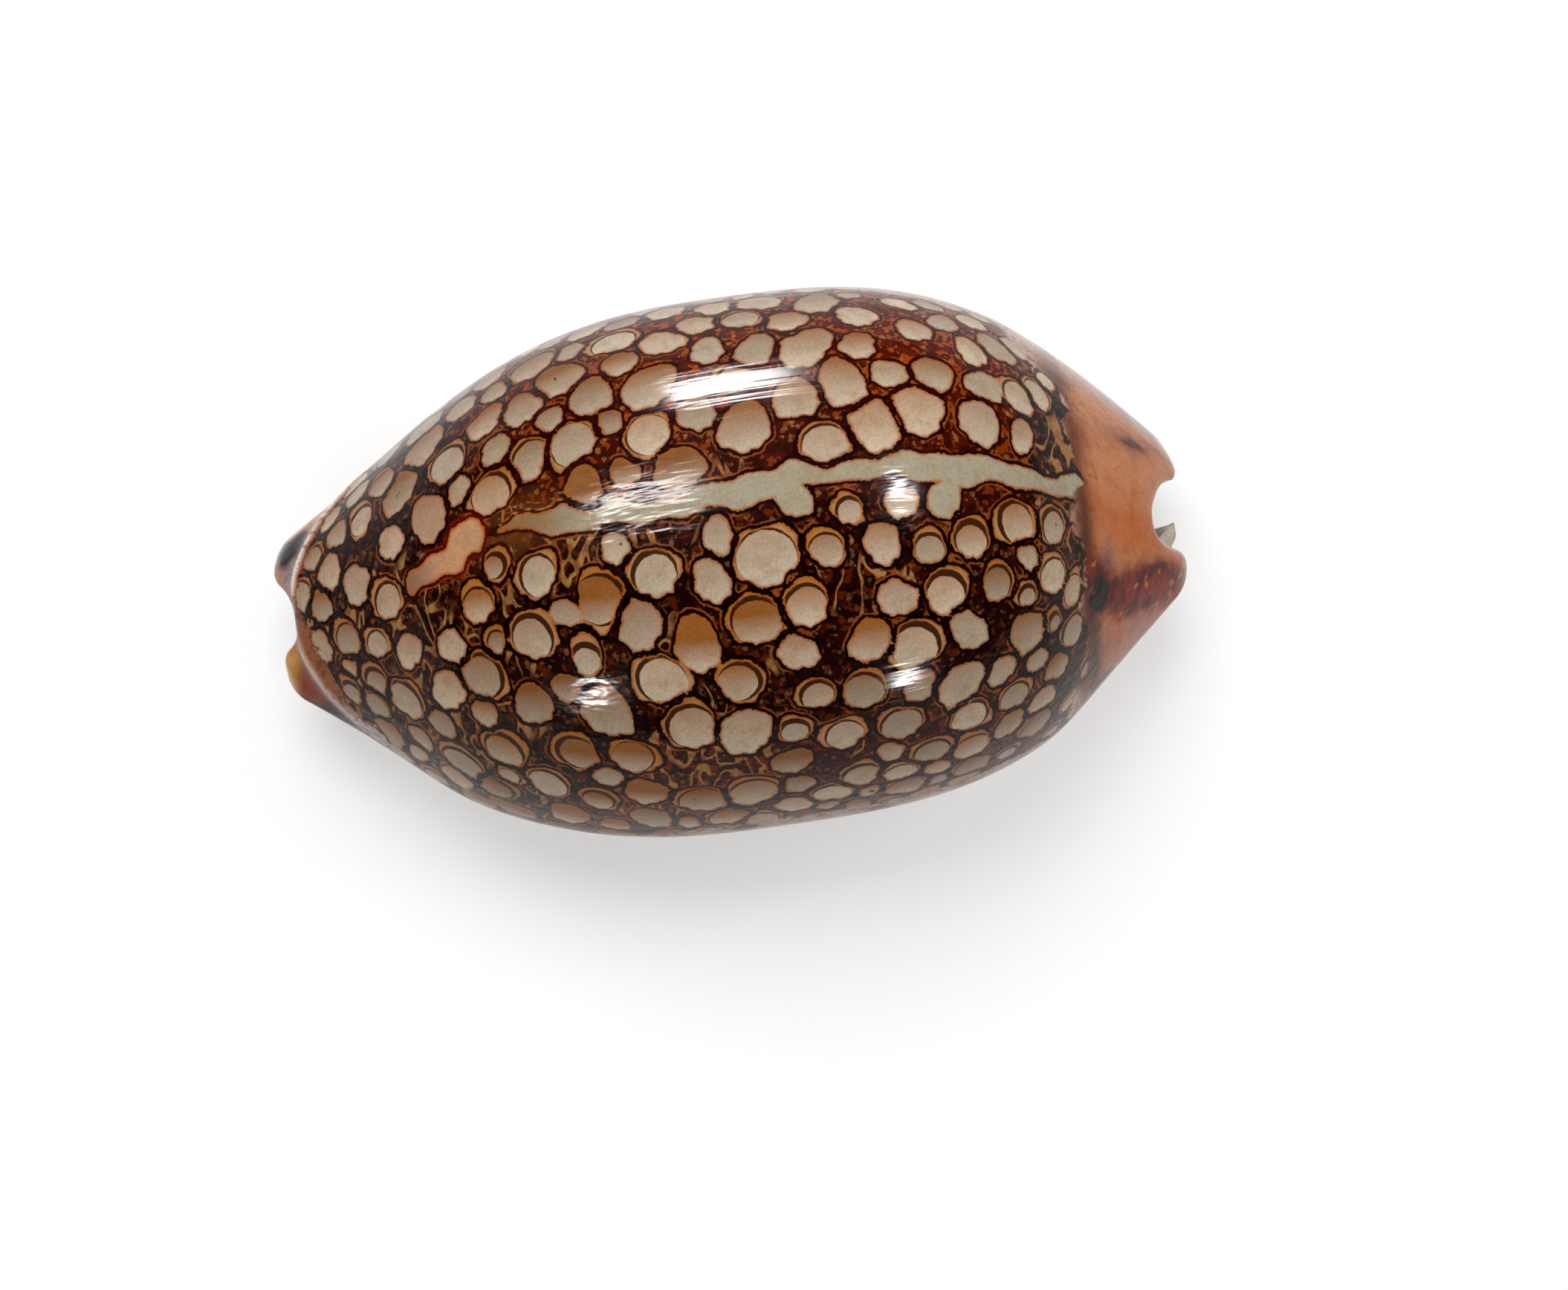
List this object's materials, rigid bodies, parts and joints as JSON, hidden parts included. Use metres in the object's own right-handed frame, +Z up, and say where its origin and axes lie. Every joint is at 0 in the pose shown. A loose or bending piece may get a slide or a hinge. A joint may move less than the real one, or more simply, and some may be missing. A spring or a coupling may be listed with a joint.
{
  "type": "cowrie shell",
  "caption": "Glossy egg-shaped cowrie shell with pale round spots on a dark brown net, resting on its flattened base with a toothed slit beneath; decorative natural specimen.",
  "frame": {"origin": "centre of the bounding box's bottom face, on the surface the base rests on", "axes": "+X towards the rear (spire) end, along the shell's length; +Y towards the outer-lip side; +Z up through the back"},
  "size_m": [0.0566, 0.0328, 0.0262],
  "materials": {
    "shell": "gloss"
  },
  "bodies": {
    "root": {"shell": "shell"}
  },
  "joints": []
}
